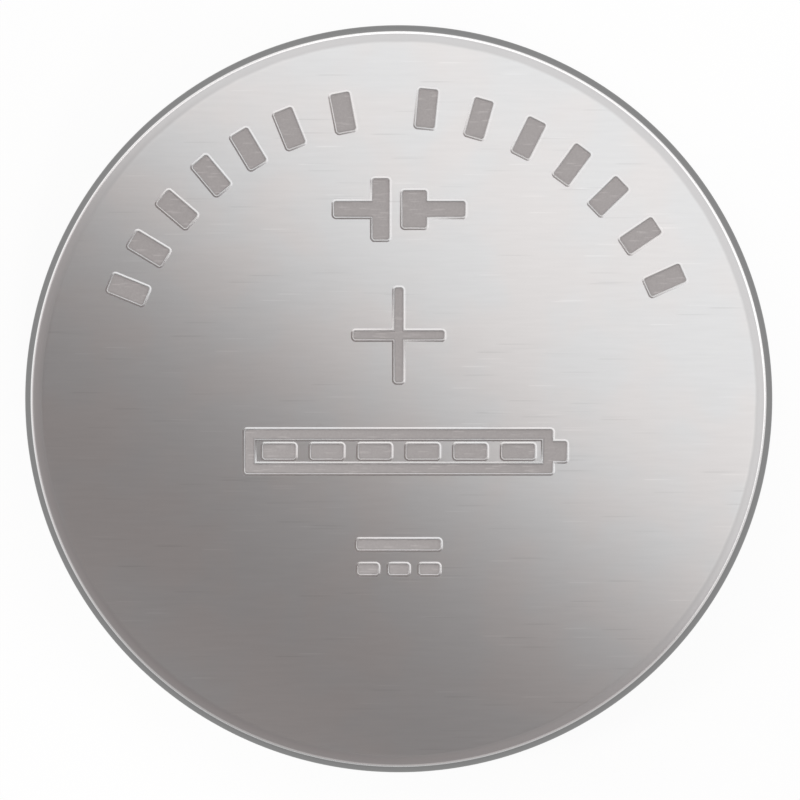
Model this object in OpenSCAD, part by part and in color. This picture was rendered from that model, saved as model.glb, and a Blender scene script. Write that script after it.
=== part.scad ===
// Lithium coin cell: a crimped steel can, a plastic gasket and a stepped steel cap round two electrodes.
// It lies with its positive face up. The origin is the centre of the negative contact's outer face.
// Every piece is a revolved section, drawn in the XY plane with X as the radius and Y as the height.

/* [Overall size] */
// Outside diameter of the can
cell_d = 20; // [12:0.5:30]
// Height over the two contact faces
cell_h = 2.5; // [2.1:0.1:5.4]

/* [Positive can] */
// Thickness of the can's sheet
can_t = 0.25; // [0.15:0.01:0.35]
// Inside radius of the corner round the positive face
can_corner_r = 0.25; // [0.1:0.05:0.5]
// Angle that the crimp turns the wall through, where 90 leaves the lip level
crimp_angle = 100; // [91:1:112]
// Distance that the crimp's lip reaches in past its bend's centre
lip_reach = 0.4; // [0.35:0.05:0.7]

/* [Negative cap] */
// Thickness of the cap's sheet
cap_t = 0.2; // [0.12:0.01:0.3]
// Height that the negative contact stands proud of the crimp
contact_proud = 0.12; // [0.05:0.01:0.3]
// Inside radius of the bend round the negative contact
cap_corner_r = 0.15; // [0.05:0.01:0.25]
// Outside radius of the hollow between the riser and the shoulder
cap_step_r = 0.1; // [0.05:0.01:0.2]
// Inside radius of the bend between the shoulder and the skirt
cap_bend_r = 0.2; // [0.1:0.05:0.4]

/* [Sealing gasket] */
// Thickness of the gasket between the can and the cap
gasket_t = 0.3; // [0.2:0.01:0.4]
// Thickness of the gasket's leg inside the skirt
leg_t = 0.35; // [0.2:0.05:0.5]
// Gap between the end of that leg and the cap's shoulder
leg_gap = 0.4; // [0.1:0.05:0.5]
// Width of the ring between the crimp's lip and the cap's riser
ring_gap_w = 0.42; // [0.35:0.01:0.7]
// Gap between the gasket's free edge and the hollow at the top of the riser
bead_gap = 0.03; // [0.02:0.01:0.1]
// Height of the gasket's bead above the crimp's lowest point
bead_rise = 0.16; // [0.1:0.01:0.2]
// Radius of the bead's outer edge
bead_edge_r = 0.12; // [0.05:0.01:0.16]

/* [Electrodes] */
// Thickness of the lithium disc
anode_t = 0.45; // [0.2:0.05:0.6]
// Gap between the lithium disc's edge and the bend round the contact
anode_gap = 0.2; // [0.05:0.05:0.5]
// Thickness of the separator's sheet
separator_t = 0.1; // [0.05:0.01:0.2]
// Inside radius of the fold between the separator's floor and rim
separator_fold_r = 0.1; // [0.05:0.01:0.2]
// Height of the separator's rim above its floor, past the end of the cathode ring's leg
separator_rim_h = 0.65; // [0.5:0.05:0.8]
// Gap between the separator's rim and the cap's riser
separator_gap = 0.05; // [0.02:0.01:0.2]
// Gap between the cathode and the separator's rim
cathode_gap = 0.05; // [0.02:0.01:0.2]
// Radius of the pressed pellet's edge on the separator
cathode_edge_r = 0.15; // [0.05:0.01:0.3]

/* [Cathode ring] */
// Thickness of the ring's sheet
ring_t = 0.15; // [0.08:0.01:0.25]
// Width of the ring's flange on the can's floor
ring_flange_w = 0.8; // [0.4:0.05:2]
// Distance that the pellet stands past the ring's leg
ring_setback = 0.5; // [0.35:0.05:0.6]

/* [Hidden] */
$fn = 144;

cell_r = cell_d / 2;

// Inside of the can
can_inner_r = cell_r - can_t;
can_floor_z = cell_h - can_t;
corner_x = can_inner_r - can_corner_r;
corner_z = can_floor_z - can_corner_r;

// The skirt's bend, the gasket and the crimp are concentric, so the crimp's radius follows their thicknesses
cap_bend_out_r = cap_bend_r + cap_t;
crimp_in_r = cap_bend_out_r + gasket_t;
crimp_out_r = crimp_in_r + can_t;
crimp_x = can_inner_r - crimp_in_r;
crimp_z = contact_proud + crimp_out_r;
lip_tilt = crimp_angle - 90;
lip_len = (lip_reach - crimp_out_r * sin(lip_tilt)) / cos(lip_tilt);

// Cap
riser_r = crimp_x - lip_reach - ring_gap_w;
well_r = riser_r - cap_t;
cap_corner_out_r = cap_corner_r + cap_t;
contact_r = riser_r - cap_corner_out_r;
shoulder_z = crimp_z - cap_bend_out_r;
shoulder_top_z = shoulder_z + cap_t;
skirt_r = crimp_x + cap_bend_out_r;
skirt_inner_r = skirt_r - cap_t;
skirt_end_z = can_floor_z - gasket_t;

// Gasket
leg_inner_r = skirt_inner_r - leg_t;
leg_end_z = shoulder_top_z + leg_gap;
bead_x = riser_r + cap_step_r + bead_gap;
bead_z = contact_proud + bead_rise;

// Stack of electrodes between the cap and the can's floor
anode_r = contact_r - anode_gap;
anode_top_z = cap_t + anode_t;
separator_r = well_r - separator_gap;
separator_top_z = anode_top_z + separator_t;
cathode_r = separator_r - separator_t - cathode_gap;
ring_end_z = separator_top_z + ring_setback;

// Slice of the plane between two angles, which reaches past a circle of the given radius
module wedge(r, a0, a1) {
    reach = 2 * r;
    middle = (a0 + a1) / 2;
    polygon([
        [0, 0],
        reach * [cos(a0), sin(a0)],
        reach * [cos(middle), sin(middle)],
        reach * [cos(a1), sin(a1)]
    ]);
}

// Sheet metal bent through an arc
module bend(inside_r, thickness, a0, a1) {
    outside_r = inside_r + thickness;
    intersection() {
        difference() {
            circle(r = outside_r);
            circle(r = inside_r);
        }
        wedge(outside_r, a0, a1);
    }
}

// Solid slice of a disc
module pie(r, a0, a1) {
    intersection() {
        circle(r = r);
        wedge(r, a0, a1);
    }
}

// Rectangle from one corner to the opposite one
module block(from, to) {
    translate(from) square(to - from);
}

// The crimp's own frame, with its origin at the bend's centre and the lip along -X
module crimp_frame() {
    translate([crimp_x, crimp_z]) rotate(-lip_tilt) children();
}

// The can's section: face, corner, wall, crimp and lip
module can_section() {
    block([0, can_floor_z], [corner_x, cell_h]);
    translate([corner_x, corner_z]) bend(can_corner_r, can_t, 0, 90);
    block([can_inner_r, crimp_z], [cell_r, corner_z]);
    translate([crimp_x, crimp_z]) bend(crimp_in_r, can_t, -90, 0);
    crimp_frame() {
        bend(crimp_in_r, can_t, -90, -45);
        block([-lip_len, -crimp_out_r], [0, -crimp_in_r]);
    }
}

// The space inside the can, as far in as the gasket's leg
module can_space() {
    block([leg_inner_r, corner_z], [corner_x, can_floor_z]);
    translate([corner_x, corner_z]) pie(can_corner_r, 0, 90);
    block([leg_inner_r, crimp_z], [can_inner_r, corner_z]);
    translate([crimp_x, crimp_z]) pie(crimp_in_r, -90, 0);
    crimp_frame() {
        pie(crimp_in_r, -90, -45);
        block([-lip_len, -crimp_in_r], [0, 0]);
    }
}

// The cap's section: contact, riser, shoulder and skirt
module cap_section() {
    step_x = riser_r + cap_step_r;
    step_z = shoulder_z - cap_step_r;
    block([0, 0], [contact_r, cap_t]);
    translate([contact_r, cap_corner_out_r]) bend(cap_corner_r, cap_t, -90, 0);
    block([well_r, cap_corner_out_r], [riser_r, step_z]);
    translate([step_x, step_z]) bend(cap_step_r, cap_t, 90, 180);
    block([step_x, shoulder_z], [crimp_x, shoulder_top_z]);
    translate([crimp_x, crimp_z]) bend(cap_bend_r, cap_t, -90, 0);
    block([skirt_inner_r, crimp_z], [skirt_r, skirt_end_z]);
}

// What the cap closes off from the outer half of the gasket: all inside its skirt and above its shoulder
module cap_core() {
    block([0, crimp_z], [skirt_r, skirt_end_z]);
    block([0, shoulder_z], [crimp_x, crimp_z]);
    translate([crimp_x, crimp_z]) pie(cap_bend_out_r, -90, 0);
}

// Bead at the gasket's free edge, beside the crimp's lip
module bead_section() {
    edge_x = bead_x + bead_edge_r;
    edge_z = bead_z + bead_edge_r;
    block([bead_x, edge_z], [crimp_x, shoulder_z]);
    block([edge_x, bead_z], [crimp_x, edge_z]);
    translate([edge_x, edge_z]) pie(bead_edge_r, 180, 270);
}

// The gasket fills the seam between the can and the cap, turns over the skirt's end and runs down inside it
module gasket_section() {
    leg_r = leg_t / 2;
    difference() {
        union() {
            can_space();
            bead_section();
        }
        can_section();
        cap_core();
    }
    block([leg_inner_r, leg_end_z + leg_r], [skirt_inner_r, skirt_end_z]);
    translate([leg_inner_r + leg_r, leg_end_z + leg_r]) pie(leg_r, 180, 270);
    translate([leg_inner_r + leg_r, leg_end_z + leg_r]) pie(leg_r, 270, 360);
}

// Shallow cup whose rim turns up round the cathode
module separator_section() {
    fold_out_r = separator_fold_r + separator_t;
    fold_x = separator_r - fold_out_r;
    fold_z = anode_top_z + fold_out_r;
    block([0, anode_top_z], [fold_x, separator_top_z]);
    translate([fold_x, fold_z]) bend(separator_fold_r, separator_t, -90, 0);
    block([separator_r - separator_t, fold_z], [separator_r, separator_top_z + separator_rim_h]);
}

// L-shaped ring that is pressed into the pellet's edge
module ring_section() {
    block([cathode_r - ring_flange_w, can_floor_z - ring_t], [cathode_r, can_floor_z]);
    block([cathode_r - ring_t, ring_end_z], [cathode_r, can_floor_z]);
}

// The pellet flush with the ring, with a rounded edge on the separator
module pellet_section() {
    edge_x = cathode_r - cathode_edge_r;
    edge_z = separator_top_z + cathode_edge_r;
    difference() {
        union() {
            block([0, separator_top_z], [edge_x, can_floor_z]);
            block([edge_x, edge_z], [cathode_r, can_floor_z]);
            translate([edge_x, edge_z]) pie(cathode_edge_r, 270, 360);
        }
        ring_section();
    }
}

module positive_can() {
    color([0.78, 0.77, 0.76]) rotate_extrude() can_section();
}

module sealing_gasket() {
    color([0.88, 0.87, 0.82]) rotate_extrude() gasket_section();
}

module negative_cap() {
    color([0.72, 0.72, 0.71]) rotate_extrude() cap_section();
}

module lithium_anode() {
    color([0.68, 0.69, 0.71]) translate([0, 0, cap_t]) cylinder(r = anode_r, h = anode_t);
}

module separator() {
    color([0.95, 0.95, 0.93]) rotate_extrude() separator_section();
}

module cathode_pellet() {
    color([0.13, 0.13, 0.13]) rotate_extrude() pellet_section();
}

module cathode_ring() {
    color([0.62, 0.62, 0.61]) rotate_extrude() ring_section();
}

positive_can();
sealing_gasket();
negative_cap();
lithium_anode();
separator();
cathode_pellet();
cathode_ring();
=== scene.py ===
"""Looks of a lithium coin cell: a brushed and stamped can, a satin cap, a gasket and the inner pieces."""

import math

import bpy
import mathutils
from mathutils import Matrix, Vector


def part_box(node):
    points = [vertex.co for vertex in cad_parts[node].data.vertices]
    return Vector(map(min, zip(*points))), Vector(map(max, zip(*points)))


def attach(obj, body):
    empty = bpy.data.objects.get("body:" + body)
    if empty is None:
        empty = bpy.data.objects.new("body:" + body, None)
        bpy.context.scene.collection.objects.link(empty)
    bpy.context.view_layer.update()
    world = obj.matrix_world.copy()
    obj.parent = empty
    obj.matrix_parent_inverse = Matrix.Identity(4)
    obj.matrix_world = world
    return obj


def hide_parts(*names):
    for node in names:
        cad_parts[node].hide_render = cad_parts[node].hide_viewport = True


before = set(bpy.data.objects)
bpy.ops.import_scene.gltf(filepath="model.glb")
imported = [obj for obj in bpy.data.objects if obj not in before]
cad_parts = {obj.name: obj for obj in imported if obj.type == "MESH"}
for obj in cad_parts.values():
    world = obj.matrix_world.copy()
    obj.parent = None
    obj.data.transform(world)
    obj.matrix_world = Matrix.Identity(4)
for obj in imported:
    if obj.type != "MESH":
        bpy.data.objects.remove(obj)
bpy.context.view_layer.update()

bl_info = {
    "name": "Lithium Coin Cell",
    "version": (1, 0, 0),
    "blender": (4, 5, 0),
    "location": "View3D > Sidebar > Coin Cell",
    "description": "Builds a coin cell with a brushed and stamped positive face",
    "category": "Add Mesh",
}

MM = 0.001
CAN_LOW, CAN_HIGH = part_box("positive_can")
CAP_LOW, CAP_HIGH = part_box("negative_cap")
GASKET_LOW, GASKET_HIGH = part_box("sealing_gasket")

# Colour of steel at a grazing angle, where it mirrors a little less than an ideal metal
STEEL_EDGE = (0.7, 0.7, 0.7, 1.0)

# Colours of the light: nearly neutral from the main light, warm from overhead and white low down
LAMP_TINT = (0.995, 1.002, 1.005)
OVERHEAD_TINT = (1.0, 0.9, 0.885)
WHITE = (1.0, 1.0, 1.0)

# The photograph's frame: its width and the can's outline in it, in pixels
IMAGE_WIDTH_PX = 800
OUTLINE_CENTRE_PX = (398.75, 398.74)
OUTLINE_RADIUS_PX = 373.87
SENSOR_WIDTH_MM = 36.0

# Three sets of hairlines: shift of the rows, length, spacing of the rows and share of the cells that hold one
HAIRLINES = {
    "dark": (0.0, 2.6 * MM, 0.036 * MM, 0.05),
    "light": (0.31 * MM, 2.1 * MM, 0.034 * MM, 0.035),
    "rough": (0.17 * MM, 0.8 * MM, 0.03 * MM, 0.25),
}


def length(name, description, default):
    """A length property that shows thousandths of a millimetre."""
    return bpy.props.FloatProperty(
        name=name, description=description, default=default, min=0.0, unit="LENGTH", precision=6
    )


def angle(name, description, degrees):
    """An angle property, with its default in degrees."""
    return bpy.props.FloatProperty(
        name=name, description=description, default=math.radians(degrees), subtype="ANGLE"
    )


def level(name, description, default):
    """A brightness property."""
    return bpy.props.FloatProperty(name=name, description=description, default=default, min=0.0)


def colour(name, description, default):
    """A colour property."""
    return bpy.props.FloatVectorProperty(
        name=name, description=description, default=default, subtype="COLOR", size=3, min=0.0, max=1.0
    )


def share(name, description, default):
    """A property from 0 to 1."""
    return bpy.props.FloatProperty(
        name=name, description=description, default=default, min=0.0, max=1.0, subtype="FACTOR"
    )


class CellSizes(bpy.types.PropertyGroup):
    """Sizes of the sheet metal and the gasket, with defaults that follow the frame."""

    cell_radius: length("Cell radius", "Outside radius of the can", CAN_HIGH.x)
    face_height: length("Face height", "Height of the positive face's highest points", CAN_HIGH.z)
    crimp_height: length("Crimp height", "Lowest point of the crimp", CAN_LOW.z)
    can_sheet: length("Can sheet", "Thickness of the can's sheet", 0.25 * MM)
    can_corner: length("Can corner", "Inside radius of the corner round the positive face", 0.25 * MM)
    crimp_tilt: angle("Crimp tilt", "Angle by which the crimp's lip rises towards its edge", 10)
    lip_reach: length("Lip reach", "How far the lip reaches in past the crimp's bend", 0.4 * MM)
    lip_edge: length("Lip edge", "Rounding of the lip's cut edge", 0.03 * MM)
    cap_sheet: length("Cap sheet", "Thickness of the cap's sheet", 0.2 * MM)
    cap_corner: length("Cap corner", "Inside radius of the bend round the contact", 0.15 * MM)
    cap_step: length("Cap step", "Radius of the hollow between the riser and the shoulder", 0.1 * MM)
    cap_bend: length("Cap bend", "Inside radius of the bend between the shoulder and the skirt", 0.2 * MM)
    gasket_wall: length("Gasket wall", "Thickness of the gasket between the can and the cap", 0.3 * MM)
    gasket_leg: length("Gasket leg", "Thickness of the gasket's leg inside the skirt", 0.35 * MM)
    leg_gap: length("Leg gap", "Gap between that leg and the cap's shoulder", 0.4 * MM)
    ring_gap: length("Ring gap", "Gap between the crimp's lip and the cap's riser", 0.42 * MM)
    bead_gap: length("Bead gap", "Gap between the gasket's edge and the hollow in the cap", 0.03 * MM)
    bead_edge: length("Bead edge", "Rounding of the gasket's edge", 0.12 * MM)
    segments: bpy.props.IntProperty(
        name="Segments", description="Faces round a revolved piece", default=432, min=12
    )


class MarkSizes(bpy.types.PropertyGroup):
    """Sizes of the marks that are stamped into the positive face."""

    depth: length("Depth", "Depth of the marks below their ridges", 0.036 * MM)
    wall: length("Wall", "Width of the marks' sloping walls", 0.035 * MM)
    ridge: length("Ridge", "Height of the metal that the stamp pushes up round a mark", 0.008 * MM)
    ridge_width: length("Ridge width", "Width of that ridge's outer slope", 0.045 * MM)
    corner: length("Corner", "Rounding of the marks' corners", 0.05 * MM)
    index_radius: length("Index radius", "Radius of the middle of the index bars", 7.8 * MM)
    index_length: length("Index length", "Length of an index bar", 1.0 * MM)
    index_width: length("Index width", "Width of an index bar", 0.48 * MM)


class FaceZones(bpy.types.PropertyGroup):
    """Where the can's finishes, its painted highlight and its painted shade meet, and the size of its brushing.
    """

    stroke_length: length("Stroke length", "Length of the fine brushing's strokes", 1.1 * MM)
    stroke_width: length("Stroke width", "Width of the fine brushing's strokes", 0.1 * MM)
    sweep_length: length("Sweep length", "Length of the broad brushing's sweeps", 12 * MM)
    sweep_width: length("Sweep width", "Width of the broad brushing's sweeps", 0.6 * MM)
    brush_fade: length("Brush fade", "Width over which the brushing ends at the face's edge", 0.1 * MM)
    brush_wander: length("Brush wander", "How far that edge wanders in and out", 0.05 * MM)
    # ring_start and ring_end bound the ring of painted highlight; ring_left and ring_down set its centre a
    # little off the axis, where the highlight falls
    ring_start: length("Ring start", "From the face's edge out to the burnished ring", 0.28 * MM)
    ring_end: length("Ring end", "From the face's edge out to the end of that ring", 0.341 * MM)
    ring_blur: length("Ring blur", "Softness of the ring's two edges", 0.006 * MM)
    ring_left: length("Ring left", "Distance of the ring's centre from the axis, towards -X", 0.006 * MM)
    ring_down: length("Ring down", "Distance of the ring's centre from the axis, towards -Y", 0.009 * MM)
    # corner_depth and wall_depth also bound the corner's painted shade, which fades into the wall's colour
    # between them
    corner_depth: length("Corner depth", "From the face down to where the corner's finish ends", 0.38 * MM)
    wall_depth: length("Wall depth", "From the face down to where the wall's colour is full", 0.75 * MM)


class Finishes(bpy.types.PropertyGroup):
    """Colours and gloss of the finishes, with the painted shade and painted highlight of the can's corner."""

    face_colour: colour("Face", "Colour of the brushed face", (0.616, 0.606, 0.602))
    face_tint: colour("Face tint", "Second colour of the brushed face, in soft patches", (0.602, 0.610, 0.614))
    shoulder_colour: colour("Shoulder", "Colour of the unbrushed edge of the face", (0.49, 0.49, 0.492))
    mark_colour: colour("Marks", "Colour of the marks' frosted floors and walls", (0.338, 0.324, 0.322))
    # Painted shade: the corner's dark colour stands for a dark reflection round the corner, outside the bright
    # ring
    corner_painted_shade: colour("Corner", "Colour of the drawn corner outside the bright ring", (0.25, 0.25, 0.25))
    wall_colour: colour("Wall", "Colour of the plated wall and crimp", (0.46, 0.455, 0.45))
    painted_highlight: colour("Edge", "Colour of the burnished ring on the corner", (0.84, 0.84, 0.84))
    # Painted highlight: the ring's light colour, on a ring that is also given a lower roughness
    cap_colour: colour("Cap", "Colour of the cap's steel", (0.52, 0.515, 0.505))
    gasket_colour: colour("Gasket", "Colour of the gasket's plastic", (0.74, 0.73, 0.68))
    lithium_colour: colour("Lithium", "Colour of the lithium foil", (0.47, 0.475, 0.485))
    felt_colour: colour("Separator", "Colour of the separator's felt", (0.82, 0.82, 0.79))
    pellet_colour: colour("Cathode", "Colour of the pressed cathode", (0.020, 0.020, 0.022))
    ring_colour: colour("Ring", "Colour of the cathode ring's steel", (0.42, 0.42, 0.41))
    face_roughness: share("Face roughness", "Roughness of the brushed face", 0.285)
    shoulder_roughness: share("Shoulder roughness", "Roughness of the unbrushed edge of the face", 0.42)
    wall_roughness: share("Wall roughness", "Roughness of the drawn corner, the wall and the crimp", 0.32)
    mark_roughness: share("Mark roughness", "Roughness of the marks' floors and walls", 1.0)
    mark_metal: share("Mark metal", "Share of bare metal in the marks' frosted floors and walls", 0.03)


class StageSettings(bpy.types.PropertyGroup):
    """Floor, lights and camera."""

    floor_width: length("Floor width", "Width of the square floor", 2.0)
    camera_height: length("Camera height", "Height of the camera above the face", 0.6)
    panel_height: length("Panel height", "Height of the main light above the face", 29.5 * MM)
    panel_width: length("Panel width", "Reach of the main light away from the cell", 120 * MM)
    panel_length: length("Panel length", "Length of the main light's near edge", 200 * MM)
    panel_edge: length("Panel edge", "Distance from the cell's axis to the light's near edge", 0.3 * MM)
    panel_turn: angle("Panel turn", "Direction in which the main light lies, from +X", 52)
    panel_level: level("Panel level", "Brightness of the main light's surface", 1.1)
    card_height: length("Card height", "Height of the reflector card above the face", 15 * MM)
    card_width: length("Card width", "Reach of the reflector card opposite the main light", 5 * MM)
    card_edge: length("Card edge", "Distance from the cell's axis to the card's near edge", 8.5 * MM)
    card_level: level("Card level", "Brightness of the reflector card", 0.11)
    fill_distance: length("Fill distance", "Distance from the cell's axis to the fill light", 15 * MM)
    fill_height: length("Fill height", "Height of the fill light above the face", 10 * MM)
    fill_size: length("Fill size", "Width of the fill light", 4 * MM)
    fill_turn: angle("Fill turn", "Direction in which the fill light lies, from +X", 233)
    fill_level: level("Fill level", "Light that the fill brings to the middle of the face", 0.2)
    sky_level: level("Sky level", "Brightness of the world straight overhead", 0.243)
    side_level: level("Side level", "Added away from overhead, less so towards the main light", 0.26)
    low_level: level("Low level", "Added near the horizon", 0.04)
    far_level: level("Far level", "Added near the horizon beyond the top of the face", 0.72)
    away_level: level("Away level", "Taken off near the horizon opposite the main light", 0.13)
    floor_grey: share("Floor grey", "Lightness of the floor", 0.85)
    floor_glow: share("Floor glow", "Share of plain white in the floor that the camera sees", 0.93)


class Value:
    """A node's output that takes part in Python expressions."""

    def __init__(self, nodes, socket):
        self.nodes = nodes
        self.socket = socket

    def math(self, operation, first, second=None):
        """The result of a Math node."""
        values = {0: first} if second is None else {0: first, 1: second}
        return self.nodes.node("ShaderNodeMath", {"operation": operation}, values)

    def __add__(self, other):
        return self.math("ADD", self, other)

    __radd__ = __add__

    def __sub__(self, other):
        return self.math("SUBTRACT", self, other)

    def __rsub__(self, other):
        return self.math("SUBTRACT", other, self)

    def __mul__(self, other):
        return self.math("MULTIPLY", self, other)

    __rmul__ = __mul__

    def __rtruediv__(self, other):
        return self.math("DIVIDE", other, self)

    def __pow__(self, other):
        return self.math("POWER", self, other)

    def floor(self):
        """The whole number below."""
        return self.math("FLOOR", self)

    def nearest(self):
        """The nearest whole number."""
        return self.math("ROUND", self)

    def above(self, limit):
        """1 above a limit and 0 below it."""
        return self.math("GREATER_THAN", self, limit)

    def most(self, other):
        """The larger of two values."""
        return self.math("MAXIMUM", self, other)

    def step(self, low, high):
        """0 below low, 1 above high and a smooth rise between them."""
        values = {"Value": self, "From Min": low, "From Max": high}
        return self.nodes.node("ShaderNodeMapRange", {"interpolation_type": "SMOOTHSTEP"}, values)

    def band(self, low, high, soft):
        """1 between low and high, with soft edges."""
        return self.step(low - soft, low + soft) * (1 - self.step(high - soft, high + soft))

    def random(self, seed):
        """A random number from 0 to 1 that belongs to this value."""
        values = {"Vector": self.nodes.vector(self, seed)}
        return self.nodes.node("ShaderNodeTexWhiteNoise", {"noise_dimensions": "2D"}, values, "Value")


class Nodes:
    """The nodes of one tree, made by short calls."""

    def __init__(self, tree):
        self.tree = tree
        self.tree.nodes.clear()

    def node(self, kind, settings=None, values=None, output=0):
        """Makes a node, applies its settings, then sets or links its sockets, and returns one output if any."""
        made = self.tree.nodes.new(kind)
        for name, setting in (settings or {}).items():
            setattr(made, name, setting)
        for name, value in (values or {}).items():
            socket = self.socket(made.inputs, name)
            if isinstance(value, Value):
                self.tree.links.new(value.socket, socket)
            else:
                socket.default_value = value
        return None if output is None else Value(self, self.socket(made.outputs, output))

    @staticmethod
    def socket(sockets, name):
        """A socket by number, or the enabled one by name."""
        if isinstance(name, int):
            return sockets[name]
        return next(s for s in sockets if s.name == name and s.enabled)

    def parts(self, vector):
        """The three parts of a vector."""
        split = self.node("ShaderNodeSeparateXYZ", values={0: vector})
        return [Value(self, output) for output in split.socket.node.outputs]

    def vector(self, x=0.0, y=0.0, z=0.0):
        """A vector from three values."""
        return self.node("ShaderNodeCombineXYZ", values={0: x, 1: y, 2: z})


class Shade(Nodes):
    """The nodes of one material or world."""

    def point(self):
        """Position on the piece, in metres."""
        return self.node("ShaderNodeTexCoord", output="Object")

    def noise(self, vector, size=1.0, detail=2.0):
        """Noise from 0 to 1, whose lumps have about a given size."""
        values = {"Vector": vector, "Scale": 1 / size, "Detail": detail}
        return self.node("ShaderNodeTexNoise", {}, values, "Fac")

    def tint(self, factor, first, second):
        """Mixes two colours."""
        values = {"Factor": factor, "A": self.rgba(first), "B": self.rgba(second)}
        return self.node("ShaderNodeMix", {"data_type": "RGBA"}, values, "Result")

    @staticmethod
    def rgba(value):
        """A colour with its alpha, or a link as it is."""
        return value if isinstance(value, Value) else (*value, 1.0)

    def scaled(self, tone, factor):
        """A colour made lighter or darker by a value."""
        values = {"Factor": 1.0, "A": self.rgba(tone), "B": self.vector(factor, factor, factor)}
        return self.node("ShaderNodeMix", {"data_type": "RGBA", "blend_type": "MULTIPLY"}, values, "Result")

    def surface(self, base, metallic, rough, relief, depth, **extra):
        """Ends the tree with a surface, whose relief goes from 0 to 1 and has a depth in metres."""
        normal = self.node("ShaderNodeBump", {}, {"Height": relief, "Distance": depth, "Strength": 1.0})
        values = {"Base Color": base, "Metallic": metallic, "Roughness": rough, "Normal": normal}
        values.update({name.replace("_", " ").title(): value for name, value in extra.items()})
        self.output(self.node("ShaderNodeBsdfPrincipled", {}, values, "BSDF"))

    def output(self, shader, kind="ShaderNodeOutputMaterial"):
        """Ends the tree with a shader."""
        self.node(kind, {}, {"Surface": shader}, None)


def new_material(name):
    """A material and the maker of its nodes."""
    material = bpy.data.materials.new(name)
    material.use_nodes = True
    return material, Shade(material.node_tree)


def streaks(shade, along, across, reach, pitch, detail=2.0):
    """Noise stretched out along one direction, as brushing is: reach and pitch are its length and width."""
    return shade.noise(shade.vector(along * (1 / reach), across * (1 / pitch)), detail=detail)


def scratches(shade, along, across, shift, reach, pitch, portion):
    """Short straight hairlines: up to 1 on them, in a portion of the cells of a grid with staggered rows."""
    row = ((across + shift) * (1 / pitch)).floor()
    place = along * (1 / reach) + row.random(1.0)
    cell = place.floor()
    here = place - cell
    chance = (row * 0.731 + cell * 17.13).random(2.0)
    start = (row * 1.37 + cell * 5.71).random(3.0) * 0.45
    depth = 0.3 + 0.7 * (row * 3.17 + cell * 2.93).random(4.0)
    line = here.step(start, start + 0.1) * (1 - here.step(start + 0.2, start + 0.5))
    return depth * line * chance.above(1 - portion)


def can_zones(shade, point, sizes, marks, zones):
    """Masks of the can's finishes and of its painted highlight, from its axis outwards and from the face down
    into the marks.
    """
    x, y, z = shade.parts(point)
    radius = (x * x + y * y) ** 0.5
    face_edge = sizes.cell_radius - sizes.can_sheet - sizes.can_corner
    seam = sizes.face_height - zones.corner_depth
    top = z.step(seam - 0.02 * MM, seam + 0.02 * MM)
    wander = radius + zones.brush_wander * (shade.noise(point, 0.9 * MM, 3.0) - 0.5)
    brushed = top * (1 - wander.step(face_edge, face_edge + zones.brush_fade))

    # The ring of painted highlight, which is also smoother, and the shoulder that reaches from the axis to the
    # ring's outer edge; the ring's centre lies a little off the axis, where the highlight falls
    highlight_radius = ((x + zones.ring_left) ** 2 + (y + zones.ring_down) ** 2) ** 0.5
    ring_end = face_edge + zones.ring_end
    ring = top * highlight_radius.band(face_edge + zones.ring_start, ring_end, zones.ring_blur)
    shoulder = top * (1 - top * highlight_radius.step(ring_end - 0.005 * MM, ring_end + 0.007 * MM))

    # The frosting starts a little below the face, at a depth that varies in short streaks
    plane = sizes.face_height - marks.ridge
    depth = (plane - z) * (1 / marks.depth)
    ragged = 0.05 + 0.5 * streaks(shade, x, y, 0.4 * MM, 0.03 * MM)
    inside = z.step(plane - 2 * marks.depth, plane - 1.9 * marks.depth)
    etched = brushed * inside * (depth - ragged).step(0.0, 0.04)
    raised = brushed * z.step(plane + 0.05 * marks.ridge, plane + 0.15 * marks.ridge)
    return brushed, ring, shoulder, etched, raised


def can_material(sizes, marks, zones, finish):
    """Brushed face with frosted stamped marks, a smoother ring on the corner whose light colour is a painted
    highlight, painted shade on the corner outside it and a duller wall.
    """
    material, shade = new_material("can_steel")
    point = shade.point()
    x, y, z = shade.parts(point)
    mottle = shade.noise(point, 1.6 * MM, 3.0)
    grain = shade.noise(point, 0.05 * MM)
    patches = shade.noise(point, 2.4 * MM).step(0.38, 0.62)
    fine = streaks(shade, x, y, zones.stroke_length, zones.stroke_width)
    broad = streaks(shade, x, y, zones.sweep_length, zones.sweep_width)
    dark, light, scored = (scratches(shade, x, y, *lines) for lines in HAIRLINES.values())
    brushed, ring, shoulder, etched, raised = can_zones(shade, point, sizes, marks, zones)

    # Colours, from the wall inwards: each finish is laid over the last one; the dark corner is painted shade
    # and the light ring on it a painted highlight
    shaded = z.step(sizes.face_height - zones.wall_depth, sizes.face_height - zones.corner_depth - 0.04 * MM)
    base = shade.scaled(shade.tint(shaded, finish.wall_colour, finish.corner_painted_shade), 0.97 + 0.06 * mottle)
    base = shade.tint(shoulder, base, shade.scaled(finish.shoulder_colour, 0.98 + 0.04 * mottle))
    tone = 0.945 + 0.08 * fine + 0.02 * broad + 0.01 * mottle - 0.09 * dark + 0.08 * light
    face = shade.scaled(shade.tint(patches, finish.face_colour, finish.face_tint), tone)
    base = shade.tint(brushed, base, face)
    # The ring's light colour is a painted highlight
    base = shade.tint(ring, base, finish.painted_highlight)
    base = shade.tint(etched, base, shade.scaled(finish.mark_colour, 0.88 + 0.24 * grain + 0.22 * scored))

    rough = finish.wall_roughness + (finish.shoulder_roughness - finish.wall_roughness) * shoulder
    rough = rough + brushed * (finish.face_roughness - finish.shoulder_roughness)
    rough = rough - 0.2 * ring - 0.04 * raised + etched * (finish.mark_roughness - finish.face_roughness)
    relief = (brushed - etched) * (0.5 + 0.5 * fine - 0.5 * dark) + etched * grain
    metal = 1 - etched * (1 - finish.mark_metal)
    shade.surface(base, metal, rough, relief, 0.0003 * MM, specular_tint=STEEL_EDGE)
    return material


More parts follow.
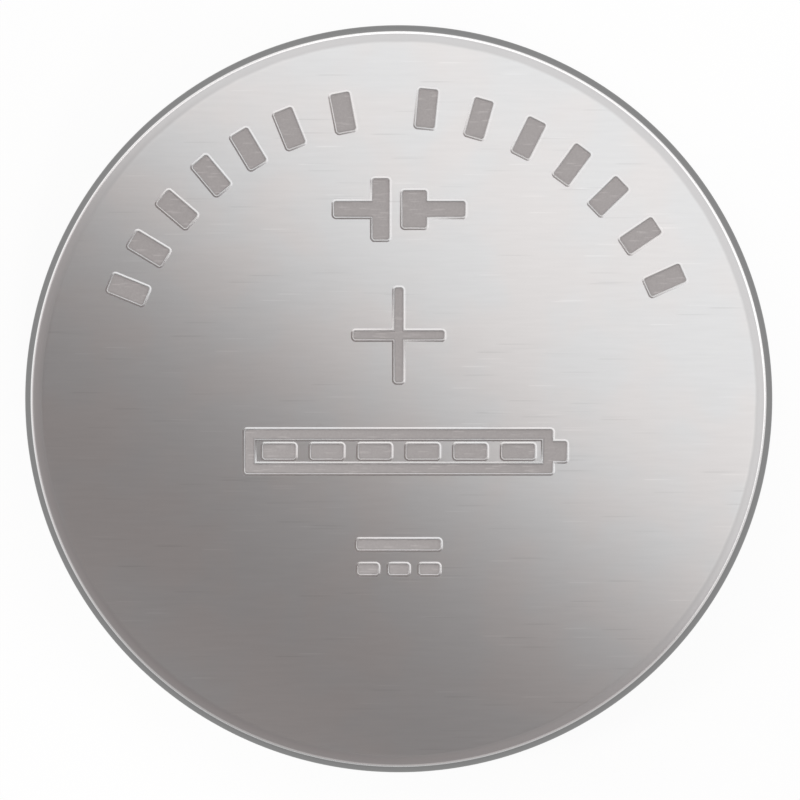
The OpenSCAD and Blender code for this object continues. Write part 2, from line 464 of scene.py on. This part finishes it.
def cap_material(finish):
    """Satin steel with faint broken rings from polishing."""
    material, shade = new_material("cap_steel")
    point = shade.point()
    x, y, z = shade.parts(point)
    radius = (x * x + y * y) ** 0.5
    wide = shade.noise(shade.vector(radius * (1 / (0.45 * MM))))
    drift = 0.6 * MM * shade.noise(point, 3 * MM, 1.0)
    bent = (radius + 0.1 * drift) * (1 / (0.07 * MM))
    rings = shade.noise(shade.vector(bent, drift * (1 / (0.3 * MM))), detail=3.0)
    mottle = shade.noise(point, 1.4 * MM, 4.0)
    base = shade.scaled(finish.cap_colour, 0.82 + 0.2 * rings + 0.1 * wide + 0.06 * mottle)
    shade.surface(base, 1.0, 0.29 + 0.06 * mottle, rings, 0.0006 * MM, specular_tint=STEEL_EDGE)
    return material


def plain_material(name, tone, pattern, roughness, depth, metallic=0.0, **extra):
    """A finish whose colour, gloss and relief follow one pattern, which a function makes from the position."""
    material, shade = new_material(name)
    relief = pattern(shade, shade.point())
    base = shade.scaled(tone, 0.82 + 0.36 * relief)
    shade.surface(base, metallic, roughness - 0.1 + 0.2 * relief, relief, depth, **extra)
    return material


def moulded(shade, point):
    """Faint cloudiness and flow of moulded plastic."""
    return 0.3 + 0.4 * shade.noise(point, 0.5 * MM, 4.0)


def rolled(shade, point):
    """Rolling lines and blotches of soft foil."""
    x, y, z = shade.parts(point)
    lines = streaks(shade, x, y, 3 * MM, 0.12 * MM, 3.0)
    return 0.5 * lines + 0.5 * shade.noise(point, 1.1 * MM, 4.0)


def felted(shade, point):
    """Crossing fibres of a nonwoven sheet."""
    x, y, z = shade.parts(point)
    warp = 0.5 * MM * shade.noise(point, 0.4 * MM)
    one = streaks(shade, x + y + warp, x - y + warp, 0.9 * MM, 0.03 * MM)
    other = streaks(shade, x - y + warp, x + y - warp, 0.8 * MM, 0.03 * MM)
    return 0.5 * one + 0.5 * other


def pressed(shade, point):
    """Granules of a pressed powder."""
    cells = shade.node("ShaderNodeTexVoronoi", {}, {"Vector": point, "Scale": 1 / (0.09 * MM)}, "Distance")
    return 0.6 * cells + 0.4 * shade.noise(point, 0.3 * MM, 3.0)


def arc(centre, radius, start, end, steps):
    """Points of an arc in a section, from one angle to another in degrees."""
    turns = [math.radians(start + (end - start) * i / steps) for i in range(steps + 1)]
    return [(centre[0] + radius * math.cos(t), centre[1] + radius * math.sin(t)) for t in turns]


def crimp(sizes):
    """Places of the crimp's bend and lip: centre, radii and a function that turns the lip's frame."""
    inner = sizes.cap_bend + sizes.cap_sheet + sizes.gasket_wall
    outer = inner + sizes.can_sheet
    centre = (sizes.cell_radius - sizes.can_sheet - inner, sizes.crimp_height + outer)
    tilt = sizes.crimp_tilt
    run = (sizes.lip_reach - outer * math.sin(tilt)) / math.cos(tilt)

    def lip(along, across):
        """A point of the lip, along it from the bend and across it from the bend's centre."""
        return (
            centre[0] - along * math.cos(tilt) - across * math.sin(tilt),
            centre[1] + along * math.sin(tilt) - across * math.cos(tilt),
        )

    return centre, inner, outer, run, lip


def can_section(sizes, ridge):
    """Outline of the can, from the edge of the face round the outside and back to the inner floor's edge.

    The outer corner is lowered by the height of the marks' ridges, whose crests then have the can's height.
    """
    centre, inner, outer, run, lip = crimp(sizes)
    corner_out = sizes.can_corner + sizes.can_sheet
    corner = (sizes.cell_radius - corner_out, sizes.face_height - corner_out)
    end_angle = -90 - math.degrees(sizes.crimp_tilt)
    edge = sizes.lip_edge
    outline = arc((corner[0], corner[1] - ridge), corner_out, 90, 0, 32)
    outline += arc(centre, outer, 0, end_angle, 36)
    outline += [lip(run - edge, outer), lip(run - 0.3 * edge, outer - 0.3 * edge), lip(run, outer - edge)]
    outline += [lip(run, inner + edge), lip(run - 0.3 * edge, inner + 0.3 * edge), lip(run - edge, inner)]
    outline += arc(centre, inner, end_angle, 0, 24)
    outline += arc(corner, sizes.can_corner, 0, 90, 12)
    return outline


def cap_section(sizes):
    """Outline of the cap, from inside its contact up, over the skirt and back down to the contact."""
    centre, inner, outer, run, lip = crimp(sizes)
    bend_out = sizes.cap_bend + sizes.cap_sheet
    riser = centre[0] - sizes.lip_reach - sizes.ring_gap
    corner_out = sizes.cap_corner + sizes.cap_sheet
    corner = (riser - corner_out, CAP_LOW.z + corner_out)
    step = (riser + sizes.cap_step, centre[1] - bend_out - sizes.cap_step)
    skirt = centre[0] + bend_out
    burr = 0.25 * sizes.cap_sheet
    outline = arc(corner, sizes.cap_corner, -90, 0, 10)
    outline += arc(step, sizes.cap_step + sizes.cap_sheet, 180, 90, 14)
    outline += arc(centre, sizes.cap_bend, -90, 0, 12)
    outline += arc((skirt - sizes.cap_sheet + burr, CAP_HIGH.z - burr), burr, 180, 90, 4)
    outline += arc((skirt - burr, CAP_HIGH.z - burr), burr, 90, 0, 4)
    outline += arc(centre, bend_out, 0, -90, 20)
    outline += arc(step, sizes.cap_step, 90, 180, 10)
    outline += arc(corner, corner_out, 0, -90, 20)
    return outline


def gasket_section(sizes):
    """Closed outline of the gasket, from the top of its inner leg round the outside and back."""
    centre, inner, outer, run, lip = crimp(sizes)
    bend_out = sizes.cap_bend + sizes.cap_sheet
    corner = (sizes.cell_radius - sizes.can_sheet - sizes.can_corner, GASKET_HIGH.z - sizes.can_corner)
    end_angle = -90 - math.degrees(sizes.crimp_tilt)
    riser = centre[0] - sizes.lip_reach - sizes.ring_gap
    bead = (riser + sizes.cap_step + sizes.bead_gap + sizes.bead_edge, GASKET_LOW.z + sizes.bead_edge)
    bead_side = (lip(run, outer)[0] + lip(run, inner)[0]) / 2
    shoulder = centre[1] - bend_out
    skirt = centre[0] + bend_out
    leg = sizes.gasket_leg / 2
    leg_end = (skirt - sizes.cap_sheet - leg, shoulder + sizes.cap_sheet + sizes.leg_gap + leg)
    outline = [(leg_end[0] - leg, GASKET_HIGH.z)]
    outline += arc(corner, sizes.can_corner, 90, 0, 10)
    outline += arc(centre, inner, 0, end_angle, 24)
    outline += [lip(run, inner), (bead_side, GASKET_LOW.z)]
    outline += arc(bead, sizes.bead_edge, -90, -180, 10)
    outline += [(bead[0] - sizes.bead_edge, shoulder)]
    outline += arc(centre, bend_out, -90, 0, 16)
    outline += [(skirt, CAP_HIGH.z), (skirt - sizes.cap_sheet, CAP_HIGH.z)]
    outline += arc(leg_end, leg, 0, -180, 14)
    return outline + outline[:1]


class Tree(Nodes):
    """A Geometry Nodes tree with named inputs."""

    def __init__(self, name, inputs, defaults):
        super().__init__(bpy.data.node_groups.new(name, "GeometryNodeTree"))
        sockets = self.tree.interface
        for label, kind in inputs.items():
            socket = sockets.new_socket(label, in_out="INPUT", socket_type="NodeSocket" + kind)
            if label in defaults:
                socket.default_value = defaults[label]
        sockets.new_socket("Geometry", in_out="OUTPUT", socket_type="NodeSocketGeometry")
        self.inputs = self.tree.nodes.new("NodeGroupInput")

    def input(self, label):
        """One of the tree's named inputs."""
        return Value(self, self.inputs.outputs[label])

    def vector_math(self, operation, first, second):
        """The result of a Vector Math node."""
        return self.node("ShaderNodeVectorMath", {"operation": operation}, {0: first, 1: second})

    def turned(self, vector, turn):
        """A vector turned about Z."""
        values = {"Vector": vector, "Angle": turn}
        return self.node("ShaderNodeVectorRotate", {"rotation_type": "Z_AXIS"}, values)

    def placed(self, geometry, **values):
        """Geometry whose points are set to a position or moved by an offset."""
        return self.node("GeometryNodeSetPosition", values={"Geometry": geometry, **values})

    def captured(self, capture, value, kind="VECTOR"):
        """Adds a value to a Capture Attribute node and returns the captured field."""
        node = capture.socket.node
        node.capture_items.new(kind, "Value")
        self.tree.links.new(value.socket, node.inputs[1])
        return Value(self, node.outputs[1])

    def gathered(self, kind, settings, socket, pieces, output=0):
        """A node with one socket that takes several pieces, in order."""
        made = self.node(kind, settings, output=output)
        for piece in pieces:
            self.tree.links.new(piece.socket, made.socket.node.inputs[socket])
        return made

    def finish(self, geometry):
        """Ends the tree with plain geometry in the piece's material."""
        plain = self.node("GeometryNodeRealizeInstances", values={"Geometry": geometry})
        values = {"Geometry": plain, "Material": self.input("Material")}
        self.node("NodeGroupOutput", {}, {0: self.node("GeometryNodeSetMaterial", values=values)}, None)
        return self.tree


def revolve_tree():
    """Turns a section, given as points in order, about Z, and closes its open ends with round lids."""
    inputs = {
        "Section": "Geometry", "Segments": "Int", "Lids": "Bool", "Merge Distance": "Float",
        "Material": "Material",
    }
    tree = Tree("revolved_section", inputs, {"Segments": 64, "Merge Distance": 1e-7})
    section, segments = tree.input("Section"), tree.input("Segments")
    count = tree.node("GeometryNodeAttributeDomainSize", values={"Geometry": section})
    values = {"Size X": 1.0, "Size Y": 1.0, "Vertices X": count, "Vertices Y": segments + 1.0}
    grid = tree.node("GeometryNodeMeshGrid", values=values)
    position = tree.node("GeometryNodeInputPosition")
    x, y, z = tree.parts(position)
    last = count - 1.0
    row = ((x + 0.5) * last).nearest()
    turn = (y + 0.5) * math.tau

    def sample(index):
        """Position of one point of the section."""
        settings = {"data_type": "FLOAT_VECTOR", "domain": "POINT"}
        values = {"Geometry": section, "Value": position, "Index": index}
        return tree.node("GeometryNodeSampleIndex", settings, values)

    wall = tree.placed(grid, Position=tree.turned(sample(row), turn))
    lids = []
    for index in (0, last):
        radius, depth, height = tree.parts(sample(index))
        values = {"Vertices": segments, "Radius": radius}
        disc = tree.node("GeometryNodeMeshCircle", {"fill_type": "NGON"}, values)
        lids.append(tree.placed(disc, Offset=tree.vector(z=height)))
    lids[1] = tree.node("GeometryNodeFlipFaces", values={"Mesh": lids[1]})
    both = tree.gathered("GeometryNodeJoinGeometry", {}, 0, reversed(lids))
    values = {"Switch": tree.input("Lids"), "True": both}
    chosen = tree.node("GeometryNodeSwitch", {"input_type": "GEOMETRY"}, values)
    closed = tree.gathered("GeometryNodeJoinGeometry", {}, 0, (chosen, wall))
    values = {"Geometry": closed, "Distance": tree.input("Merge Distance")}
    return tree.finish(tree.node("GeometryNodeMergeByDistance", values=values))


def by_storey(storey, low, middle, top):
    """A low, middle or top value for a storey of -1, 0 or 1."""
    return storey.above(-0.5) * (middle - low) + storey.above(0.5) * (top - middle) + low


def stamp_tree(revolve):
    """A revolved can with round-cornered bars stamped into its face, one at each point of the marks object.

    Metal is first pushed up round every bar as a low ridge, and the bars are then cut through the ridges.
    """
    sizes = ("Face Height", "Depth", "Wall", "Ridge", "Ridge Width", "Corner")
    inputs = {
        "Section": "Geometry", "Segments": "Int", "Marks": "Object", **dict.fromkeys(sizes, "Float"),
        "Corner Points": "Int", "Material": "Material",
    }
    tree = Tree("stamped_can", inputs, {"Segments": 64, "Corner Points": 16})
    crest, depth, wall, ridge, ridge_width, corner = (tree.input(label) for label in sizes)
    values = {label: tree.input(label) for label in ("Section", "Segments", "Material")}
    can = tree.node("GeometryNodeGroup", {"node_tree": revolve}, {**values, "Lids": True})

    # A unit cylinder with three storeys of points, which is copied to every mark and knows each copy's number
    corner_points = tree.input("Corner Points")
    values = {"Vertices": corner_points, "Side Segments": 2, "Radius": 1.0, "Depth": 2.0}
    rim = tree.node("GeometryNodeMeshCylinder", {"fill_type": "NGON"}, values, "Mesh")
    position = tree.node("GeometryNodeInputPosition")
    rim = tree.placed(rim, Position=tree.turned(position, math.pi / corner_points))
    rim = tree.node("GeometryNodeCaptureAttribute", {"domain": "POINT"}, {"Geometry": rim})
    unit = tree.captured(rim, position)
    points = tree.node("GeometryNodeObjectInfo", values={"Object": tree.input("Marks")}, output="Geometry")
    copies = tree.node("GeometryNodeInstanceOnPoints", values={"Points": points, "Instance": rim})
    copies = tree.node("GeometryNodeCaptureAttribute", {"domain": "INSTANCE"}, {"Geometry": copies})
    number = tree.captured(copies, tree.node("GeometryNodeInputIndex"), "INT")
    loose = tree.node("GeometryNodeRealizeInstances", values={"Geometry": copies})
    half_size, turn, spot = (
        tree.node("GeometryNodeInputNamedAttribute", {"data_type": kind}, {"Name": label}, "Attribute")
        for label, kind in (("half_size", "FLOAT_VECTOR"), ("turn", "FLOAT"), ("spot", "FLOAT_VECTOR"))
    )
    sign = tree.vector_math("SIGN", unit, (0.0, 0.0, 0.0))
    storey = tree.parts(unit)[2]
    inner = tree.vector_math("SUBTRACT", half_size, tree.vector(corner, corner))
    straight = tree.vector_math("MULTIPLY", sign, inner)

    def solids(spread, height):
        """The bars as separate solids, each widened by a spread and set at a height that go with the storey."""
        radius = corner + spread
        rounded = tree.vector_math("MULTIPLY", unit, tree.vector(radius, radius))
        outline = tree.vector_math("ADD", straight, rounded)
        outline = tree.turned(tree.vector_math("MULTIPLY", outline, (1.0, 1.0, 0.0)), turn)
        place = tree.vector_math("ADD", tree.vector_math("ADD", outline, spot), tree.vector(z=height))
        values = {"Geometry": tree.placed(loose, Position=place), "Group ID": number}
        return tree.node("GeometryNodeSplitToInstances", {"domain": "POINT"}, values)

    # Ridges start just outside the marks' walls. The cutters' storeys lie at the floor, at a bend in the wall
    # and above the ridges, and are given as shares of the wall's width and of the depth
    lowered = 1.0 - storey
    ridges = solids(wall * 1.1 + ridge_width * lowered, crest - ridge * lowered)
    cutters = solids(
        wall * by_storey(storey, 0.0, 0.45, 1.4), crest - depth * by_storey(storey, 1.0, 0.4, -0.3)
    )
    boolean = "GeometryNodeMeshBoolean"
    settings = {"operation": "UNION", "solver": "MANIFOLD"}
    proud = tree.gathered(boolean, settings, "Mesh 2", (ridges, can), "Mesh")
    settings["operation"] = "DIFFERENCE"
    return tree.finish(tree.node(boolean, settings, {"Mesh 1": proud, "Mesh 2": cutters}, "Mesh"))


def add_modifier(piece, group, values):
    """Puts a tree on a piece and sets its inputs by their identifiers."""
    modifier = piece.modifiers.new(group.name, "NODES")
    modifier.node_group = group
    for item in group.interface.items_tree:
        if item.in_out == "INPUT" and item.name in values:
            modifier[item.identifier] = values[item.name]


def new_object(name, data):
    """A new object in the scene."""
    made = bpy.data.objects.new(name, data)
    bpy.context.scene.collection.objects.link(made)
    return made


def mesh_object(name, points, faces=()):
    """A new object in the scene, with a mesh of points and faces."""
    mesh = bpy.data.meshes.new(name)
    mesh.from_pydata(points, [], faces)
    return new_object(name, mesh)


def plain_mesh(piece, name):
    """The evaluated mesh of a piece as a new object of its own, in place of the piece."""
    bpy.context.view_layer.update()
    depsgraph = bpy.context.evaluated_depsgraph_get()
    mesh = bpy.data.meshes.new_from_object(piece.evaluated_get(depsgraph))
    bpy.data.objects.remove(piece)
    mesh.name = name
    return new_object(name, mesh)


def smooth(piece, sharp_angle=30.0):
    """Smooth shading on the bends, and flat shading on the flat discs so that they stay true mirrors."""
    mesh = piece.data
    mesh.shade_smooth()
    mesh.set_sharp_from_angle(angle=math.radians(sharp_angle))
    for face in mesh.polygons:
        if abs(face.normal.z) > 1 - 1e-6:
            face.use_smooth = False


def shell(name, outline, group, values):
    """A piece that a tree makes from a section's outline in the XZ plane, as a plain mesh with smooth bends."""
    piece = mesh_object(name + "_section", [(r, 0.0, z) for r, z in outline])
    add_modifier(piece, group, values)
    made = plain_mesh(piece, name)
    smooth(made)
    return made


def seat(piece, node):
    """Declares a finished piece: it rides on the cell and stands for a CAD node."""
    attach(piece, "root")
    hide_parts(node)


def revolved():
    """The tree that turns a section, made the first time that it is asked for."""
    return bpy.data.node_groups.get("revolved_section") or revolve_tree()


def bar(x, y, across, up):
    """A stamped bar: its centre, and its sizes across and up, all in millimetres."""
    return {"spot": (x * MM, y * MM, 0.0), "half_size": (across * MM / 2, up * MM / 2, 0.0), "turn": 0.0}


def index_bars(marks):
    """Two groups of radial bars that follow the rim over the upper half of the face."""
    degrees = [158, 149, 139.5, 130, 121, 112, 101, 84.5, 74, 63.5, 53.5, 44, 34, 24]
    turns = [math.radians(turn) for turn in degrees]
    return [
        {
            "spot": (marks.index_radius * math.cos(turn), marks.index_radius * math.sin(turn), 0.0),
            "half_size": (marks.index_length / 2, marks.index_width / 2, 0.0),
            "turn": turn,
        }
        for turn in turns
    ]


def cell_symbol():
    """The circuit sign of a cell: a long thin plate and a short thick one, each with its lead."""
    return [
        bar(-1.12, 5.07, 1.2, 0.38),
        bar(-0.48, 5.07, 0.42, 1.6),
        bar(0.42, 5.07, 0.62, 0.96),
        bar(1.16, 5.07, 1.2, 0.38),
    ]


def plus_sign():
    """The plus sign of the positive face."""
    return [bar(0, 1.70, 2.40, 0.20), bar(0, 1.70, 0.20, 2.50)]


def charge_gauge():
    """A row of upright bars in a frame with a nub, the generic picture of a charged battery."""
    sides = [
        bar(0, -0.95, 8.2, 0.22), bar(0, -1.87, 8.2, 0.22),
        bar(-3.99, -1.41, 0.22, 1.14), bar(3.99, -1.41, 0.22, 1.14),
        bar(4.28, -1.41, 0.4, 0.5),
    ]
    return sides + [bar(-3.2 + 1.28 * i, -1.41, 0.84, 0.36) for i in range(6)]


def current_sign():
    """The sign of direct current: a line over a broken line."""
    return [bar(0, -3.9, 2.2, 0.24)] + [bar(-0.82 + 0.82 * i, -4.56, 0.5, 0.24) for i in range(3)]


def marks_object(marks):
    """Points that carry the size, turn and place of every stamped bar."""
    bars = index_bars(marks) + cell_symbol() + plus_sign() + charge_gauge() + current_sign()
    piece = mesh_object("stamp_points", [b["spot"] for b in bars])
    attributes = piece.data.attributes
    for name in ("half_size", "spot"):
        attribute = attributes.new(name, "FLOAT_VECTOR", "POINT")
        attribute.data.foreach_set("vector", [number for b in bars for number in b[name]])
    attribute = attributes.new("turn", "FLOAT", "POINT")
    attribute.data.foreach_set("value", [b["turn"] for b in bars])
    return piece


class COINCELL_OT_can(bpy.types.Operator):
    """Makes the positive can with its stamped marks"""

    bl_idname = "coin_cell.can"
    bl_label = "Positive Can"

    def execute(self, context):
        scene = context.scene
        sizes, marks = scene.coin_cell_sizes, scene.coin_cell_marks
        points = marks_object(marks)
        values = {
            "Segments": sizes.segments, "Marks": points, "Face Height": sizes.face_height,
            "Depth": marks.depth, "Wall": marks.wall, "Corner": marks.corner,
            "Ridge": marks.ridge, "Ridge Width": marks.ridge_width,
            "Material": can_material(sizes, marks, scene.coin_cell_zones, scene.coin_cell_finishes),
        }
        made = shell("can_shell", can_section(sizes, marks.ridge), stamp_tree(revolved()), values)
        bpy.data.objects.remove(points)
        seat(made, "positive_can")
        return {"FINISHED"}


class COINCELL_OT_cap(bpy.types.Operator):
    """Makes the negative cap"""

    bl_idname = "coin_cell.cap"
    bl_label = "Negative Cap"

    def execute(self, context):
        sizes = context.scene.coin_cell_sizes
        material = cap_material(context.scene.coin_cell_finishes)
        values = {"Segments": sizes.segments, "Lids": True, "Material": material}
        made = shell("cap_shell", cap_section(sizes), revolved(), values)
        seat(made, "negative_cap")
        return {"FINISHED"}


class COINCELL_OT_gasket(bpy.types.Operator):
    """Makes the sealing gasket"""

    bl_idname = "coin_cell.gasket"
    bl_label = "Sealing Gasket"

    def execute(self, context):
        sizes, finish = context.scene.coin_cell_sizes, context.scene.coin_cell_finishes
        material = plain_material(
            "gasket_plastic", finish.gasket_colour, moulded, 0.42, 0.004 * MM,
            subsurface_weight=0.25, subsurface_scale=0.2 * MM, subsurface_radius=(1.0, 1.0, 1.0),
        )
        values = {"Segments": sizes.segments, "Material": material}
        made = shell("gasket_ring", gasket_section(sizes), revolved(), values)
        seat(made, "sealing_gasket")
        return {"FINISHED"}


class COINCELL_OT_inner(bpy.types.Operator):
    """Finishes the sealed inner pieces"""

    bl_idname = "coin_cell.inner"
    bl_label = "Inner Pieces"

    def execute(self, context):
        finish = context.scene.coin_cell_finishes
        dress = {
            "lithium_anode": plain_material("lithium", finish.lithium_colour, rolled, 0.5, 0.003 * MM, 1.0),
            "separator": plain_material("separator_felt", finish.felt_colour, felted, 0.85, 0.01 * MM),
            "cathode_pellet": plain_material("cathode_mix", finish.pellet_colour, pressed, 0.75, 0.012 * MM),
            "cathode_ring": plain_material("ring_steel", finish.ring_colour, rolled, 0.35, 0.001 * MM, 1.0),
        }
        for node, material in dress.items():
            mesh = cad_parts[node].data
            mesh.materials.clear()
            mesh.materials.append(material)
        return {"FINISHED"}


def floor_material(stage):
    """Pale floor that is white to the camera and in reflections, and keeps a soft shadow.

    It is clear from below, and to the stray light that reaches the underside of the cell.
    """
    material, shade = new_material("pale_floor")
    path = shade.node("ShaderNodeLightPath").socket.node
    camera, glossy, through, diffused = (
        Value(shade, path.outputs[f"Is {ray} Ray"]) for ray in ("Camera", "Glossy", "Transmission", "Diffuse")
    )
    grey = shade.rgba((stage.floor_grey,) * 3)
    diffuse = shade.node("ShaderNodeBsdfDiffuse", {}, {"Color": grey}, "BSDF")
    glow = shade.node("ShaderNodeEmission", {}, {"Color": shade.rgba(WHITE), "Strength": 1.0})
    seen = stage.floor_glow * (camera + glossy + through)
    lit = shade.node("ShaderNodeMixShader", {}, {0: seen, 1: diffuse, 2: glow})
    clear = shade.node("ShaderNodeBsdfTransparent", {}, {}, "BSDF")
    behind = shade.node("ShaderNodeNewGeometry", output="Backfacing")
    shade.output(shade.node("ShaderNodeMixShader", {}, {0: behind.most(diffused), 1: lit, 2: clear}))
    return material


def studio_world(scene, stage):
    """Dim overhead, brighter low down, most of all beyond the top of the face; white to the camera."""
    scene.world = bpy.data.worlds.new("studio")
    scene.world.use_nodes = True
    shade = Shade(scene.world.node_tree)

    # Each step runs between two limits of the direction's part: up, towards the main light or up the photograph
    x, y, z = shade.parts(shade.node("ShaderNodeTexCoord", output="Generated"))
    lampward = x * math.cos(stage.panel_turn) + y * math.sin(stage.panel_turn)
    side = (1 - z.step(0.8, 0.99)) * (1 - 0.8 * lampward.step(-0.1, 0.5))
    low = 1 - z.step(0.08, 0.38)
    far = y.step(-1.1, 0.35)
    away = 1 - lampward.step(-1.0, -0.55)
    horizon = stage.low_level + stage.far_level * far - stage.away_level * away
    brightness = stage.sky_level + stage.side_level * side + low * horizon
    hue = shade.tint(low, OVERHEAD_TINT, WHITE)
    light = shade.node("ShaderNodeBackground", {}, {"Color": hue, "Strength": brightness})
    white = shade.node("ShaderNodeBackground", {}, {"Color": shade.rgba(WHITE), "Strength": 1.0})
    camera = shade.node("ShaderNodeLightPath", output="Is Camera Ray")
    mixed = shade.node("ShaderNodeMixShader", {}, {0: camera, 1: light, 2: white})
    shade.output(mixed, "ShaderNodeOutputWorld")


def polar(distance, turn, height):
    """A place at a distance and a turn about the cell's axis."""
    return mathutils.Vector((distance * math.cos(turn), distance * math.sin(turn), height))


def area_light(name, shape, span, energy, place, turn):
    """A soft flat light that the camera doesn't see."""
    light = bpy.data.lights.new(name, "AREA")
    light.shape = shape
    light.size, light.size_y = span
    light.energy = energy
    lamp = new_object(name, light)
    lamp.location = place
    lamp.rotation_euler = turn
    lamp.visible_camera = False
    return lamp


def soft_panel(name, span, edge, turn, height, brightness, tint):
    """A light over one side of the cell, with its near edge across a direction from the axis."""
    place = polar(edge + span[0] / 2, turn, height)
    energy = brightness * math.pi * span[0] * span[1]
    lamp = area_light(name, "RECTANGLE", span, energy, place, (0.0, 0.0, turn))
    lamp.data.color = tint


def panels(stage, sizes):
    """The main light, whose blurred edge crosses the brushed face, and a faint reflector card opposite it."""
    soft_panel(
        "main_panel", (stage.panel_width, stage.panel_length), stage.panel_edge, stage.panel_turn,
        sizes.face_height + stage.panel_height, stage.panel_level, LAMP_TINT,
    )
    soft_panel(
        "card", (stage.card_width, stage.panel_length), stage.card_edge, stage.panel_turn + math.pi,
        sizes.face_height + stage.card_height, stage.card_level, WHITE,
    )


def fill_light(stage, sizes):
    """A small light low beside the dark part of the face, which frosted and other dull finishes catch."""
    place = polar(stage.fill_distance, stage.fill_turn, sizes.face_height + stage.fill_height)
    beam = mathutils.Vector((0.0, 0.0, sizes.face_height)) - place
    energy = stage.fill_level * math.pi ** 2 * beam.length ** 3 / stage.fill_height
    turn = beam.to_track_quat("-Z", "Y").to_euler()
    lamp = area_light("fill", "DISK", (stage.fill_size,) * 2, energy, place, turn)
    lamp.visible_glossy = False


def photo_camera(scene, stage, sizes):
    """A long lens straight above the face, at the photograph's scale and offset."""
    pixel = sizes.cell_radius / OUTLINE_RADIUS_PX
    data = bpy.data.cameras.new("camera")
    data.sensor_width = SENSOR_WIDTH_MM
    data.lens = data.sensor_width * stage.camera_height / (IMAGE_WIDTH_PX * pixel)
    data.clip_start = 0.001
    data.clip_end = 10.0
    camera = new_object("camera", data)
    middle = IMAGE_WIDTH_PX / 2
    camera.location = (
        (middle - OUTLINE_CENTRE_PX[0]) * pixel,
        (OUTLINE_CENTRE_PX[1] - middle) * pixel,
        sizes.face_height + stage.camera_height,
    )
    scene.camera = camera


class COINCELL_OT_stage(bpy.types.Operator):
    """Sets up the floor, the lights and the camera"""

    bl_idname = "coin_cell.stage"
    bl_label = "Stage"

    def execute(self, context):
        scene = context.scene
        stage, sizes = scene.coin_cell_stage, scene.coin_cell_sizes
        half = stage.floor_width / 2
        corners = [(-half, -half, 0.0), (half, -half, 0.0), (half, half, 0.0), (-half, half, 0.0)]
        floor = mesh_object("floor", corners, [(0, 1, 2, 3)])
        floor.data.materials.append(floor_material(stage))
        studio_world(scene, stage)
        panels(stage, sizes)
        fill_light(stage, sizes)
        photo_camera(scene, stage, sizes)
        scene.view_settings.view_transform = "Standard"
        return {"FINISHED"}


class COINCELL_PT_panel(bpy.types.Panel):
    """Lists the steps that build the cell"""

    bl_label = "Coin Cell"
    bl_idname = "COINCELL_PT_panel"
    bl_space_type = "VIEW_3D"
    bl_region_type = "UI"
    bl_category = "Coin Cell"

    def draw(self, context):
        for operator in OPERATORS:
            self.layout.operator(operator.bl_idname)


GROUPS = {
    "coin_cell_sizes": CellSizes,
    "coin_cell_marks": MarkSizes,
    "coin_cell_zones": FaceZones,
    "coin_cell_finishes": Finishes,
    "coin_cell_stage": StageSettings,
}
OPERATORS = (COINCELL_OT_can, COINCELL_OT_cap, COINCELL_OT_gasket, COINCELL_OT_inner, COINCELL_OT_stage)
CLASSES = (*GROUPS.values(), *OPERATORS, COINCELL_PT_panel)


def register():
    """Registers the classes and gives the scene their settings."""
    for cls in CLASSES:
        bpy.utils.register_class(cls)
    for name, cls in GROUPS.items():
        setattr(bpy.types.Scene, name, bpy.props.PointerProperty(type=cls))


def unregister():
    """Takes the settings and the classes away again."""
    for name in GROUPS:
        delattr(bpy.types.Scene, name)
    for cls in reversed(CLASSES):
        bpy.utils.unregister_class(cls)


def main():
    """Registers the add-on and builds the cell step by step."""
    register()
    bpy.ops.coin_cell.can()
    bpy.ops.coin_cell.cap()
    bpy.ops.coin_cell.gasket()
    bpy.ops.coin_cell.inner()
    bpy.ops.coin_cell.stage()


if __name__ == "__main__":
    main()
